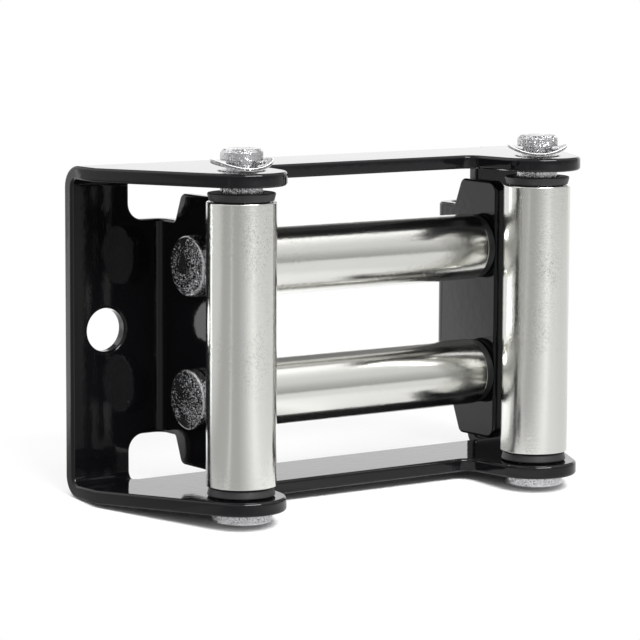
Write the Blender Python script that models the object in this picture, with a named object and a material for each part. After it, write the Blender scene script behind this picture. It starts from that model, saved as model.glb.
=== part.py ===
"""Four-roller fairlead for a small winch, in metres.

The frame is one folded sheet: a flat blank with all its holes, a window and two lugs,
folded at the top and bottom into flanges and inside the window into the lugs.
Two upright rollers stand between the ears of the flanges, and two level rollers lie
between the lugs behind them. Every roller is a steel tube with a flanged bushing in
each end, and turns on a headed pin that a bowed clip holds in the frame.

X runs across the frame, Y from the rollers back to the mounting face at y = 0, Z up.
The origin is the centre of the mounting face.
"""
import math

import bmesh
import bpy
from mathutils import Matrix, Vector

# Driving sizes of the folded frame
PLATE_THICKNESS = 0.0035
BEND_INNER_RADIUS = 0.0020
NEUTRAL_LAYER = 0.44
MOUNT_HOLE_SPACING = 0.1238
MOUNT_HOLE_DIAMETER = 0.0108
MOUNT_HOLE_TO_END = 0.0101
SIDE_EDGE_DEPTH = 0.0141
FLANGE_MID_DEPTH = 0.0286
FLANGE_EAR_RADIUS = 0.0111
EAR_INNER_ANGLE = math.radians(8)
EAR_INNER_FILLET = 0.0035
RELIEF_WIDTH = 0.0092
RELIEF_HEIGHT = 0.0108
RELIEF_FILLET = 0.0042
WINDOW_CORNER_FILLET = 0.0010
LUG_FRONT_MARGIN = 0.0080
LUG_TIP_GAP = 0.0039
LUG_ROOT_DEPTH = 0.0098
LUG_TIP_SLANT = 0.0028
LUG_ROOT_FILLET = 0.0010
LUG_REAR_CORNER = 0.0018
LUG_FRONT_CORNER = 0.0030

# Driving sizes of the rollers and where they stand
TUBE_WALL = 0.0016
TUBE_END_CHAMFER = 0.0004
UPRIGHT_TUBE_LENGTH = 0.0693
LEVEL_TUBE_LENGTH = 0.0786
UPRIGHT_AXIS_SPACING = 0.0922
LEVEL_ROLLER_GAP = 0.0159
LEVEL_AXIS_DEPTH = 0.0195
ROW_CLEARANCE = 0.0029
AXIAL_PLAY = 0.0014

# Driving sizes of the bushings, whose wall carries the tube round the pin
BUSHING_WALL = 0.0013
BUSHING_FLANGE = 0.0020
BUSHING_BODY_LENGTH = 0.0120
BUSHING_FLANGE_INSET = 0.0002
BUSHING_FLANGE_TAPER = 0.0005
BUSHING_BORE_CHAMFER = 0.0004

# Driving sizes of the pins and clips
PIN_DIAMETER = 0.0104
PIN_HEAD_DIAMETER = 0.0152
PIN_HEAD_THICKNESS = 0.0024
PIN_HEAD_ROUND = 0.0010
PIN_TAIL_LENGTH = 0.0054
PIN_TAIL_CHAMFER = 0.0008
GROOVE_DIAMETER = 0.0076
GROOVE_WIDTH = 0.0024
GROOVE_LIFT = 0.0002
CLIP_LOBE_CLEARANCE = 0.0006
CLIP_RIM_WIDTH = 0.0018
CLIP_THICKNESS = 0.0010
CLIP_BOW = 0.0019
CLIP_REACH = math.radians(132)
CLIP_SIDE_PRONG = math.radians(30)
CLIP_MIDDLE_PRONG = math.radians(36)
CLIP_PRONG_FLARE = math.radians(7)

# Clearances: running seats, and bushings pressed into their tubes
SEAT_GAP = 0.0003
PRESS_GAP = 0.0002

# Fineness of curves
ARC_STEP = math.radians(9)
BEND_STEPS = 8
TUBE_SEGMENTS = 48
SMALL_SEGMENTS = 36
CLIP_STRIPS = 8
MERGE_DISTANCE = 1e-7

# Sizes that follow
PIN_RADIUS = PIN_DIAMETER / 2
PIN_HOLE_RADIUS = PIN_RADIUS + SEAT_GAP
BUSHING_RADIUS = PIN_HOLE_RADIUS + BUSHING_WALL
BORE_RADIUS = BUSHING_RADIUS + PRESS_GAP
TUBE_RADIUS = BORE_RADIUS + TUBE_WALL
CLIP_INNER_RADIUS = PIN_RADIUS + CLIP_LOBE_CLEARANCE
CLIP_OUTER_RADIUS = CLIP_INNER_RADIUS + CLIP_RIM_WIDTH
BEND_OUTER_RADIUS = BEND_INNER_RADIUS + PLATE_THICKNESS
BEND_LENGTH = (BEND_INNER_RADIUS + NEUTRAL_LAYER * PLATE_THICKNESS) * math.pi / 2
END_STACK = 2 * (BUSHING_FLANGE + PRESS_GAP + SEAT_GAP) + AXIAL_PLAY
EAR_GAP = UPRIGHT_TUBE_LENGTH + END_STACK
LUG_GAP = LEVEL_TUBE_LENGTH + END_STACK
HALF_WIDTH = MOUNT_HOLE_SPACING / 2 + MOUNT_HOLE_TO_END
HALF_HEIGHT = EAR_GAP / 2 + PLATE_THICKNESS
UPRIGHT_AXIS_DEPTH = LEVEL_AXIS_DEPTH + 2 * TUBE_RADIUS + ROW_CLEARANCE
LEVEL_AXIS_HEIGHT = LEVEL_ROLLER_GAP / 2 + TUBE_RADIUS

# Where the folds start on the flat blank, and where the window ends
FLANGE_BEND_START = HALF_HEIGHT - BEND_OUTER_RADIUS
LUG_BEND_START = LUG_GAP / 2 + BEND_OUTER_RADIUS
RELIEF_EDGE = LUG_GAP / 2 + PLATE_THICKNESS + RELIEF_WIDTH
RELIEF_FLOOR = EAR_GAP / 2 - RELIEF_HEIGHT
LUG_TIP = EAR_GAP / 2 - LUG_TIP_GAP
LUG_FRONT_DEPTH = LEVEL_AXIS_DEPTH + LUG_FRONT_MARGIN

AXIS_UP = Matrix.Identity(4)
AXIS_RIGHT = Matrix.Rotation(math.pi / 2, 4, "Y")


def clear_scene():
    """Remove whatever the file opened with."""
    for item in list(bpy.data.objects):
        bpy.data.objects.remove(item, do_unlink=True)


def make_material(name, colour, roughness, metallic):
    """Return a plain Principled material."""
    material = bpy.data.materials.new(name)
    material.use_nodes = True
    shader = material.node_tree.nodes["Principled BSDF"]
    shader.inputs["Base Color"].default_value = (*colour, 1.0)
    shader.inputs["Roughness"].default_value = roughness
    shader.inputs["Metallic"].default_value = metallic
    return material


def add_object(name, mesh, material, parent, place):
    """Link a mesh as an object at a place in its parent's space."""
    item = bpy.data.objects.new(name, mesh)
    bpy.context.scene.collection.objects.link(item)
    item.parent = parent
    item.matrix_local = place
    if not mesh.materials:
        mesh.materials.append(material)
    return item


def mesh_from(bm, name, sharp_angle):
    """Turn a bmesh into a mesh whose round faces are smooth."""
    bmesh.ops.recalc_face_normals(bm, faces=bm.faces)
    mesh = bpy.data.meshes.new(name)
    bm.to_mesh(mesh)
    bm.free()
    mesh.shade_smooth()
    mesh.set_sharp_from_angle(angle=sharp_angle)
    return mesh


def arc(centre, radius, start, end):
    """Return points on an arc from one angle to another, both ends included."""
    steps = max(1, math.ceil(abs(end - start) / ARC_STEP - 1e-6))
    turns = [start + (end - start) * step / steps for step in range(steps + 1)]
    return [centre + radius * Vector((math.cos(turn), math.sin(turn))) for turn in turns]


def circle(centre, radius):
    """Return points round a full circle."""
    return arc(centre, radius, 0.0, math.tau)[:-1]


def rounded(corners):
    """Round the corners of an open path of (x, y, radius), leaving its two ends."""
    points = [Vector(corners[0][:2])]
    for before, corner, after in zip(corners, corners[1:], corners[2:]):
        apex = Vector(corner[:2])
        back = (Vector(before[:2]) - apex).normalized()
        ahead = (Vector(after[:2]) - apex).normalized()
        half = back.angle(ahead) / 2
        radius = corner[2]
        if radius <= 0 or half > math.radians(89.9):
            points.append(apex)
            continue
        centre = apex + (back + ahead).normalized() * radius / math.sin(half)
        first = apex + back * radius / math.tan(half) - centre
        last = apex + ahead * radius / math.tan(half) - centre
        start = math.atan2(first.y, first.x)
        sweep = math.remainder(math.atan2(last.y, last.x) - start, math.tau)
        points.extend(arc(centre, radius, start, start + sweep))
    points.append(Vector(corners[-1][:2]))
    return points


def four_fold(quarter):
    """Close a loop from its first quarter, which runs from the X axis to the Y axis."""
    loop = list(quarter)
    loop += [Vector((-point.x, point.y)) for point in reversed(quarter)]
    loop += [Vector((-point.x, -point.y)) for point in quarter]
    loop += [Vector((point.x, -point.y)) for point in reversed(quarter)]
    closed = []
    for point in loop:
        if not closed or (point - closed[-1]).length > 1e-6:
            closed.append(point)
    if (closed[0] - closed[-1]).length <= 1e-6:
        closed.pop()
    return closed


def tangent_point(outside, centre, radius, side):
    """Return where a line from a point outside touches a circle, left or right of it."""
    reach = outside - centre
    turn = math.atan2(reach.y, reach.x) + side * math.acos(radius / reach.length)
    return centre + radius * Vector((math.cos(turn), math.sin(turn)))


def flange_flat(depth):
    """Return the flat height of a point on a flange, from its depth once folded."""
    return FLANGE_BEND_START + BEND_LENGTH + depth - BEND_OUTER_RADIUS


def lug_flat(depth):
    """Return the flat half width of a point on a lug, from its depth once folded."""
    return LUG_BEND_START - BEND_LENGTH - depth + BEND_OUTER_RADIUS


def blank_outline():
    """Return the outer edge of the blank: ends, slanted sides, ears and middle edge."""
    ear = Vector((UPRIGHT_AXIS_SPACING / 2, flange_flat(UPRIGHT_AXIS_DEPTH)))
    shoulder = Vector((HALF_WIDTH, flange_flat(SIDE_EDGE_DEPTH)))
    outer = tangent_point(shoulder, ear, FLANGE_EAR_RADIUS, 1) - ear
    start = math.atan2(outer.y, outer.x)
    end = math.pi - EAR_INNER_ANGLE
    ear_arc = arc(ear, FLANGE_EAR_RADIUS, start, end)
    mid = flange_flat(FLANGE_MID_DEPTH)
    foot = ear_arc[-1]
    corner = Vector((foot.x - math.tan(EAR_INNER_ANGLE) * (foot.y - mid), mid))
    inner = rounded([(*foot, 0), (*corner, EAR_INNER_FILLET), (0.0, mid, 0)])
    return four_fold([Vector((HALF_WIDTH, 0.0)), shoulder] + ear_arc + inner[1:])


def window_outline():
    """Return the edge of the window, which runs round the lugs and their reliefs."""
    root = lug_flat(LUG_ROOT_DEPTH)
    path = [
        (lug_flat(LUG_FRONT_DEPTH), 0.0, 0),
        (lug_flat(LUG_FRONT_DEPTH), LUG_TIP, LUG_FRONT_CORNER),
        (root - LUG_TIP_SLANT, LUG_TIP, LUG_REAR_CORNER),
        (root, RELIEF_FLOOR, LUG_ROOT_FILLET),
        (RELIEF_EDGE, RELIEF_FLOOR, RELIEF_FILLET),
        (RELIEF_EDGE, flange_flat(BEND_OUTER_RADIUS), WINDOW_CORNER_FILLET),
        (0.0, flange_flat(BEND_OUTER_RADIUS), 0),
    ]
    return four_fold(rounded(path))


def blank_holes():
    """Return the round holes: two to mount it, and eight for the pins."""
    ear_height = flange_flat(UPRIGHT_AXIS_DEPTH)
    lug_place = lug_flat(LEVEL_AXIS_DEPTH)
    holes = []
    for side in (-1, 1):
        mount = Vector((side * MOUNT_HOLE_SPACING / 2, 0.0))
        holes.append(circle(mount, MOUNT_HOLE_DIAMETER / 2))
        for level in (-1, 1):
            ear = Vector((side * UPRIGHT_AXIS_SPACING / 2, level * ear_height))
            lug = Vector((side * lug_place, level * LEVEL_AXIS_HEIGHT))
            holes.append(circle(ear, PIN_HOLE_RADIUS))
            holes.append(circle(lug, PIN_HOLE_RADIUS))
    return holes


def sheet(loops, thickness):
    """Return a flat sheet in XY, rising by its thickness, with the given edges."""
    bm = bmesh.new()
    edges = []
    for loop in loops:
        ring = [bm.verts.new((point.x, point.y, 0.0)) for point in loop]
        edges += [bm.edges.new(pair) for pair in zip(ring, ring[1:] + ring[:1])]
    bmesh.ops.triangle_fill(bm, edges=edges, use_beauty=True, use_dissolve=False)
    raised = bmesh.ops.extrude_face_region(bm, geom=list(bm.faces), use_keep_orig=True)
    top = [part for part in raised["geom"] if isinstance(part, bmesh.types.BMVert)]
    bmesh.ops.translate(bm, verts=top, vec=(0.0, 0.0, thickness))
    return bm


def cut_along(bm, axis, places, faces_of):
    """Cut the chosen faces of a mesh along planes across an axis."""
    normal = Vector((0.0, 0.0, 0.0))
    normal[axis] = 1.0
    for place in places:
        faces = faces_of(bm)
        edges = {edge for face in faces for edge in face.edges}
        bmesh.ops.bisect_plane(bm, geom=faces + list(edges), dist=MERGE_DISTANCE,
                               plane_co=normal * place, plane_no=normal)


def bend_places(start, direction):
    """Return where the sheet is cut so that a bend comes out round."""
    return [start + direction * BEND_LENGTH * step / BEND_STEPS
            for step in range(BEND_STEPS + 1)]


def folded(point):
    """Return where a point of the flat blank lies once the sheet is folded."""
    radius = BEND_OUTER_RADIUS - point.z
    over_flange = abs(point.y) - FLANGE_BEND_START
    past_lug = LUG_BEND_START - abs(point.x)
    if over_flange > 0:
        turn = min(over_flange / BEND_LENGTH, 1.0) * math.pi / 2
        rest = max(over_flange - BEND_LENGTH, 0.0)
        depth = BEND_OUTER_RADIUS - radius * math.cos(turn) + rest
        height = FLANGE_BEND_START + radius * math.sin(turn)
        return Vector((point.x, -depth, math.copysign(height, point.y)))
    if past_lug > 0:
        turn = min(past_lug / BEND_LENGTH, 1.0) * math.pi / 2
        rest = max(past_lug - BEND_LENGTH, 0.0)
        depth = BEND_OUTER_RADIUS - radius * math.cos(turn) + rest
        across = LUG_BEND_START - radius * math.sin(turn)
        return Vector((math.copysign(across, point.x), -depth, point.y))
    return Vector((point.x, -point.z, point.y))


def all_faces(bm):
    """Choose every face."""
    return list(bm.faces)


def web_faces(bm):
    """Choose the faces between the flanges, which hold the lugs."""
    limit = FLANGE_BEND_START + MERGE_DISTANCE
    return [face for face in bm.faces if all(abs(vert.co.y) <= limit for vert in face.verts)]


def build_frame(material):
    """Cut the blank, then fold its flanges and its lugs."""
    bm = sheet([blank_outline(), window_outline()] + blank_holes(), PLATE_THICKNESS)
    for side in (-1, 1):
        cut_along(bm, 1, bend_places(side * FLANGE_BEND_START, side), all_faces)
    for side in (-1, 1):
        cut_along(bm, 0, bend_places(side * LUG_BEND_START, -side), web_faces)
    for vert in bm.verts:
        vert.co = folded(vert.co)
    bmesh.ops.triangulate(bm, faces=bm.faces)
    mesh = mesh_from(bm, "frame", math.radians(25))
    return add_object("frame", mesh, material, None, Matrix.Identity(4))


def turned(name, profile, closed, segments):
    """Spin a profile of (radius, height) round the Z axis."""
    bm = bmesh.new()
    verts = [bm.verts.new((radius, 0.0, height)) for radius, height in profile]
    pairs = list(zip(verts, verts[1:]))
    if closed:
        pairs.append((verts[-1], verts[0]))
    edges = [bm.edges.new(pair) for pair in pairs]
    bmesh.ops.spin(bm, geom=verts + edges, cent=(0.0, 0.0, 0.0), axis=(0.0, 0.0, 1.0),
                   angle=math.tau, steps=segments, use_merge=True)
    bmesh.ops.remove_doubles(bm, verts=bm.verts, dist=MERGE_DISTANCE * 10)
    return mesh_from(bm, name, math.radians(30))


def tube_mesh(name, length):
    """Turn a roller tube, centred on its length, with broken outer edges."""
    half = length / 2
    edge = TUBE_RADIUS - TUBE_END_CHAMFER
    profile = [
        (BORE_RADIUS, -half),
        (edge, -half),
        (TUBE_RADIUS, -half + TUBE_END_CHAMFER),
        (TUBE_RADIUS, half - TUBE_END_CHAMFER),
        (edge, half),
        (BORE_RADIUS, half),
    ]
    return turned(name, profile, True, TUBE_SEGMENTS)


def bushing_mesh():
    """Turn a flanged bushing: outer face of the flange at z = 0, body down the bore."""
    rim = TUBE_RADIUS - BUSHING_FLANGE_INSET
    end = -(BUSHING_FLANGE + BUSHING_BODY_LENGTH)
    profile = [
        (PIN_HOLE_RADIUS + BUSHING_BORE_CHAMFER, 0.0),
        (rim, 0.0),
        (rim - BUSHING_FLANGE_TAPER, -BUSHING_FLANGE),
        (BUSHING_RADIUS, -BUSHING_FLANGE),
        (BUSHING_RADIUS, end),
        (PIN_HOLE_RADIUS, end),
        (PIN_HOLE_RADIUS, -BUSHING_BORE_CHAMFER),
    ]
    return turned("bushing", profile, True, SMALL_SEGMENTS)


def pin_mesh(name, gap):
    """Turn a headed pin for brackets whose inner faces lie a gap apart."""
    face = gap / 2 + PLATE_THICKNESS
    under_head = -(face + SEAT_GAP)
    head_top = under_head - PIN_HEAD_THICKNESS
    head = PIN_HEAD_DIAMETER / 2
    groove = GROOVE_DIAMETER / 2
    groove_start = face + GROOVE_LIFT
    tail = face + PIN_TAIL_LENGTH
    profile = [
        (0.0, head_top),
        (head - PIN_HEAD_ROUND, head_top),
        (head, head_top + PIN_HEAD_ROUND),
        (head, under_head),
        (PIN_RADIUS, under_head),
        (PIN_RADIUS, groove_start),
        (groove, groove_start),
        (groove, groove_start + GROOVE_WIDTH),
        (PIN_RADIUS, groove_start + GROOVE_WIDTH),
        (PIN_RADIUS, tail - PIN_TAIL_CHAMFER),
        (PIN_RADIUS - PIN_TAIL_CHAMFER, tail),
        (0.0, tail),
    ]
    return turned(name, profile, False, SMALL_SEGMENTS)


def clip_outline():
    """Return the edge of the flat clip, open towards +Y, with three prongs inward."""
    outer = CLIP_OUTER_RADIUS
    inner = CLIP_INNER_RADIUS
    tip = GROOVE_DIAMETER / 2 + SEAT_GAP
    centre = Vector((0.0, 0.0))
    down = -math.pi / 2
    lobe_start = CLIP_MIDDLE_PRONG / 2 + CLIP_PRONG_FLARE
    lobe_end = CLIP_REACH - CLIP_SIDE_PRONG - CLIP_PRONG_FLARE
    points = arc(centre, outer, down - CLIP_REACH, down + CLIP_REACH)
    points += arc(centre, tip, down + CLIP_REACH, down + CLIP_REACH - CLIP_SIDE_PRONG)
    points += arc(centre, inner, down + lobe_end, down + lobe_start)
    points += arc(centre, tip, down + CLIP_MIDDLE_PRONG / 2, down - CLIP_MIDDLE_PRONG / 2)
    points += arc(centre, inner, down - lobe_start, down - lobe_end)
    points += arc(centre, tip, down - CLIP_REACH + CLIP_SIDE_PRONG, down - CLIP_REACH)
    return points


def clip_mesh():
    """Cut a flat clip and bow it, its middle line at z = 0 and its two sides raised."""
    bm = sheet([clip_outline()], CLIP_THICKNESS)
    places = [CLIP_OUTER_RADIUS * (2 * step / CLIP_STRIPS - 1)
              for step in range(1, CLIP_STRIPS)]
    cut_along(bm, 0, places, all_faces)
    for vert in bm.verts:
        vert.co.z += CLIP_BOW * (vert.co.x / CLIP_OUTER_RADIUS) ** 2
    bmesh.ops.triangulate(bm, faces=bm.faces)
    return mesh_from(bm, "clip", math.radians(30))


def add_roller(name, ends, centre, row, clip_turn, meshes, finishes):
    """Add a tube, its two bushings, its pin and its clip on one axis."""
    axis, gap, length, drift = row
    hub = bpy.data.objects.new(name + "_axis", None)
    bpy.context.scene.collection.objects.link(hub)
    hub.matrix_world = Matrix.Translation(centre) @ axis
    shift = Matrix.Translation((0.0, 0.0, drift))
    tube = tube_mesh("roller_tube_" + name, length)
    add_object("roller_tube_" + name, tube, finishes["steel"], hub, shift)
    face = length / 2 + PRESS_GAP + BUSHING_FLANGE
    for end, side in zip(ends, (-1, 1)):
        turn = Matrix.Rotation(math.pi, 4, "X") if side < 0 else Matrix.Identity(4)
        place = shift @ Matrix.Translation((0.0, 0.0, side * face)) @ turn
        bushing_name = "bushing_" + name + "_" + end
        add_object(bushing_name, meshes["bushing"], finishes["plastic"], hub, place)
    pin = pin_mesh("pin_" + name, gap)
    add_object("pin_" + name, pin, finishes["zinc"], hub, Matrix.Identity(4))
    lift = gap / 2 + PLATE_THICKNESS + SEAT_GAP
    place = Matrix.Translation((0.0, 0.0, lift)) @ Matrix.Rotation(clip_turn, 4, "Z")
    add_object("clip_" + name, meshes["clip"], finishes["zinc"], hub, place)


def main():
    """Build the whole fairlead."""
    clear_scene()
    finishes = {
        "paint": make_material("gloss_black_coat", (0.006, 0.006, 0.007), 0.12, 0.0),
        "steel": make_material("satin_steel", (0.62, 0.62, 0.58), 0.28, 1.0),
        "zinc": make_material("zinc_plate", (0.72, 0.72, 0.74), 0.35, 1.0),
        "plastic": make_material("black_plastic", (0.012, 0.012, 0.013), 0.55, 0.0),
    }
    build_frame(finishes["paint"])
    meshes = {"bushing": bushing_mesh(), "clip": clip_mesh()}
    upright = (AXIS_UP, EAR_GAP, UPRIGHT_TUBE_LENGTH, -AXIAL_PLAY / 2)
    level = (AXIS_RIGHT, LUG_GAP, LEVEL_TUBE_LENGTH, AXIAL_PLAY / 2)
    front = -UPRIGHT_AXIS_DEPTH
    back = -LEVEL_AXIS_DEPTH
    half = UPRIGHT_AXIS_SPACING / 2
    rise = LEVEL_AXIS_HEIGHT
    rollers = [
        ("left", ("bottom", "top"), (-half, front, 0.0), upright, math.radians(-15)),
        ("right", ("bottom", "top"), (half, front, 0.0), upright, math.radians(-35)),
        ("upper", ("left", "right"), (0.0, back, rise), level, math.radians(90)),
        ("lower", ("left", "right"), (0.0, back, -rise), level, math.radians(60)),
    ]
    for name, ends, centre, row, clip_turn in rollers:
        add_roller(name, ends, centre, row, clip_turn, meshes, finishes)


main()
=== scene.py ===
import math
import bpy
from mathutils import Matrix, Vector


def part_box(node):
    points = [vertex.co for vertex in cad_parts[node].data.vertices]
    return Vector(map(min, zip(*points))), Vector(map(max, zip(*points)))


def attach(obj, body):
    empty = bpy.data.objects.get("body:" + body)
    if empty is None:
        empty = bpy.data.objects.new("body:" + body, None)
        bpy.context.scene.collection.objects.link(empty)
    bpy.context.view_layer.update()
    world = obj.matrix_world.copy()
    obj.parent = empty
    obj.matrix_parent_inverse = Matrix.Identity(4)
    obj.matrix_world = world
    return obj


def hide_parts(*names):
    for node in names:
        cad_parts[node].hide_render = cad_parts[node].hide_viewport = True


bl_info = {
    "name": "Roller Fairlead",
    "version": (1, 0, 0),
    "blender": (4, 5, 0),
    "location": "View3D > Sidebar > Fairlead",
    "description": "Dress the fairlead's frame, rollers, pins and clips, "
                   "and set its studio",
    "category": "Object",
}

import bmesh
import bpy
from mathutils import Matrix, Vector

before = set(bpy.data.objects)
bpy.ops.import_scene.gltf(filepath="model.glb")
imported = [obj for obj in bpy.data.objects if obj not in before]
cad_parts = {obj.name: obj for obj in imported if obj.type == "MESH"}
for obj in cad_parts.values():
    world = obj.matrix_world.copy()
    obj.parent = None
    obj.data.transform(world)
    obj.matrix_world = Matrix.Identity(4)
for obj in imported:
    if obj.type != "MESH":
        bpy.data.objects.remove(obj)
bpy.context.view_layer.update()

ROLLERS = ("left", "right", "upper", "lower")
BUSHING_ENDS = {
    "left": ("bottom", "top"),
    "right": ("bottom", "top"),
    "upper": ("left", "right"),
    "lower": ("left", "right"),
}

MERGE_DISTANCE = 1e-6
FLAT_ANGLE = math.radians(0.5)
SHARP_ANGLE = math.radians(40)
CREASE_ANGLE = math.radians(26)
FLATS_WEIGHT = 80
HUB_RADIUS = 0.0001
FILLET_STEPS = 4
FLOOR_SEGMENTS = 96
CLIP_START = 0.01
WHITE = (1.0, 1.0, 1.0, 1.0)

# Patterns in the finishes: how many features each has in a metre.
COAT_CLOUDS = 55.0
COAT_WAVES = 110.0
COAT_PEEL = 480.0
COAT_SPECKS = 1500.0
STEEL_CLOUDS = 38.0
STEEL_PATCHES = 60.0
STEEL_PITS = 2300.0
STEEL_RINGS = 5200.0
ZINC_CLOUDS = 300.0
ZINC_PATCHES = 140.0
ZINC_GRAIN = 700.0
PLASTIC_GRAIN = 1800.0
PLASTIC_SCUFFS = 500.0

# Between which levels of its noise a pattern sets in.
SPECK_LEVELS = (0.74, 0.80)
STEEL_PATCH_LEVELS = (0.35, 0.65)
ZINC_PATCH_LEVELS = (0.20, 0.60)
SCUFF_LEVELS = (0.55, 0.75)

# How much lighter or darker a finish is where its pattern is strongest.
COAT_CLOUD_SHADE = 1.8
STEEL_CLOUD_SHADE = 0.92
ZINC_CLOUD_SHADE = 0.8
SCUFF_SHADE = 2.2

# How much rougher a finish is where its pattern is strongest.
COAT_CLOUD_ROUGHNESS = 0.04
SPECK_ROUGHNESS = 0.15
STEEL_CLOUD_ROUGHNESS = 0.05
PIT_ROUGHNESS = 0.08
ZINC_CLOUD_ROUGHNESS = 0.1
GRAIN_ROUGHNESS = 0.1

# How far the polishing rings are drawn out round a tube, as a share.
RING_STRETCH = 0.04


def roller_layout(name):
    """Read where a roller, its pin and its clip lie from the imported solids."""
    low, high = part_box("roller_tube_" + name)
    size = high - low
    axis = max(range(3), key=lambda index: size[index])
    centre = (low + high) / 2
    turn = Matrix.Rotation(math.pi / 2, 4, "Y") if axis == 0 else Matrix.Identity(4)
    pin_low, pin_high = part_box("pin_" + name)
    clip_low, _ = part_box("clip_" + name)
    return {
        "axis": axis,
        "turn": turn,
        "centre": centre,
        "length": size[axis],
        "radius": size.y / 2,
        "pin_start": pin_low[axis] - centre[axis],
        "pin_end": pin_high[axis] - centre[axis],
        "pin_head_radius": (pin_high.y - pin_low.y) / 2,
        "clip_seat": clip_low[axis] - centre[axis],
    }


LAYOUT = {name: roller_layout(name) for name in ROLLERS}


class Value:
    """One output of a node tree, which adds Math nodes when it is used in a sum."""

    def __init__(self, graph, socket):
        self.graph = graph
        self.socket = socket

    def math(self, operation, first, second=None):
        """Add a Math node to this value's tree."""
        values = {0: first} if second is None else {0: first, 1: second}
        return self.graph.node("ShaderNodeMath", {"operation": operation}, values)

    def __add__(self, other):
        return self.math("ADD", self, other)

    def __radd__(self, other):
        return self.math("ADD", other, self)

    def __sub__(self, other):
        return self.math("SUBTRACT", self, other)

    def __rsub__(self, other):
        return self.math("SUBTRACT", other, self)

    def __mul__(self, other):
        return self.math("MULTIPLY", self, other)

    def __rmul__(self, other):
        return self.math("MULTIPLY", other, self)

    def __truediv__(self, other):
        return self.math("DIVIDE", self, other)

    def __rtruediv__(self, other):
        return self.math("DIVIDE", other, self)


class Graph:
    """A node tree, for a material, the world or geometry, filled by one method."""

    def __init__(self, tree):
        self.tree = tree

    def node(self, kind, settings=None, inputs=None, output=0):
        """Add a node, set it up, feed its sockets and return one of its outputs."""
        node = self.tree.nodes.new(kind)
        settings = dict(settings or {})
        stops = settings.pop("stops", ())
        items = settings.pop("items", 0)
        for name, value in settings.items():
            setattr(node, name, value)
        ramp = node.color_ramp.elements if stops else ()
        for _ in range(len(stops) - 2):
            ramp.new(0.5)
        for element, (place, shade) in zip(ramp, stops):
            element.position = place
            element.color = (shade, shade, shade, 1.0)
        for _ in range(items - 2):
            node.index_switch_items.new()
        for name, value in (inputs or {}).items():
            self.feed(node.inputs[name], value)
        return Value(self, node.outputs[output])

    def feed(self, socket, value):
        """Link a value to a socket, or set the socket's own number."""
        if isinstance(value, Value):
            self.tree.links.new(value.socket, socket)
        else:
            socket.default_value = value

    def mix(self, factor, first, second):
        """Blend two colours."""
        return self.node("ShaderNodeMix", {"data_type": "RGBA"},
                         {0: factor, 6: first, 7: second}, 2)

    def noise(self, place, scale, detail=2.0, roughness=0.5):
        """Return noise from 0 to 1 at a place."""
        return self.node("ShaderNodeTexNoise", None,
                         {"Vector": place, "Scale": scale, "Detail": detail,
                          "Roughness": roughness})

    def eased(self, value, low, high):
        """Ease a value from 0 at low to 1 at high."""
        return self.node("ShaderNodeMapRange", {"interpolation_type": "SMOOTHSTEP"},
                         {"Value": value, "From Min": low, "From Max": high})

    def vector(self, operation, first, second):
        """Add a Vector Math node."""
        return self.node("ShaderNodeVectorMath", {"operation": operation},
                         {0: first, 1: second})

    def sparkle(self, place, scale, lean):
        """Return a normal that leans at random from facet to facet, a few of them far.

        A facet's colour runs from 0 to 1, so its offset from the middle, raised to the
        third power, reaches an eighth.
        """
        facets = self.node("ShaderNodeTexVoronoi", None,
                           {"Vector": place, "Scale": scale}, "Color")
        tilt = self.vector("SUBTRACT", facets, (0.5, 0.5, 0.5))
        tilt = self.vector("MULTIPLY", tilt, self.vector("MULTIPLY", tilt, tilt))
        tilt = self.node("ShaderNodeVectorMath", {"operation": "SCALE"},
                         {0: tilt, "Scale": 8.0 * lean})
        normal = self.node("ShaderNodeNewGeometry", output="Normal")
        return self.node("ShaderNodeVectorMath", {"operation": "NORMALIZE"},
                         {0: self.vector("ADD", normal, tilt)})

    def bump(self, height, distance, under=None):
        """Return a normal raised by a height, over another normal if one is given."""
        inputs = {"Height": height, "Distance": distance}
        if under is not None:
            inputs["Normal"] = under
        return self.node("ShaderNodeBump", None, inputs)


def start_finish(name, fixed):
    """Start a material, and set what is the same all over its surface."""
    material = bpy.data.materials.new(name)
    material.use_nodes = True
    shader = material.node_tree.nodes["Principled BSDF"]
    for socket, value in fixed.items():
        shader.inputs[socket].default_value = value
    return material, Graph(material.node_tree), shader


def tinted(colour, scale):
    """Return a colour made lighter or darker, with its alpha."""
    return (*(min(1.0, channel * scale) for channel in colour), 1.0)


def gloss_coat(settings):
    """Gloss black coat: slight orange peel, with specks of dust under it."""
    material, graph, shader = start_finish(
        "gloss_coat", {"IOR": 1.5, "Specular IOR Level": 0.27})
    place = graph.node("ShaderNodeTexCoord", output="Object")
    cloud = graph.noise(place, COAT_CLOUDS, detail=3.0)
    dust = graph.noise(place, COAT_SPECKS, detail=1.0)
    speck = graph.eased(dust, *SPECK_LEVELS)
    colour = graph.mix(cloud, tinted(settings.colour, 1.0),
                       tinted(settings.colour, COAT_CLOUD_SHADE))
    graph.feed(shader.inputs["Base Color"], colour)
    rough = settings.roughness + COAT_CLOUD_ROUGHNESS * cloud + SPECK_ROUGHNESS * speck
    graph.feed(shader.inputs["Roughness"], rough)
    waves = graph.noise(place, COAT_WAVES, detail=1.0)
    waved = graph.bump(waves, settings.wave_height)
    peel = graph.bump(graph.noise(place, COAT_PEEL), settings.peel_height, waved)
    graph.feed(shader.inputs["Normal"], graph.bump(speck, settings.speck_height, peel))
    return material


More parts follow.
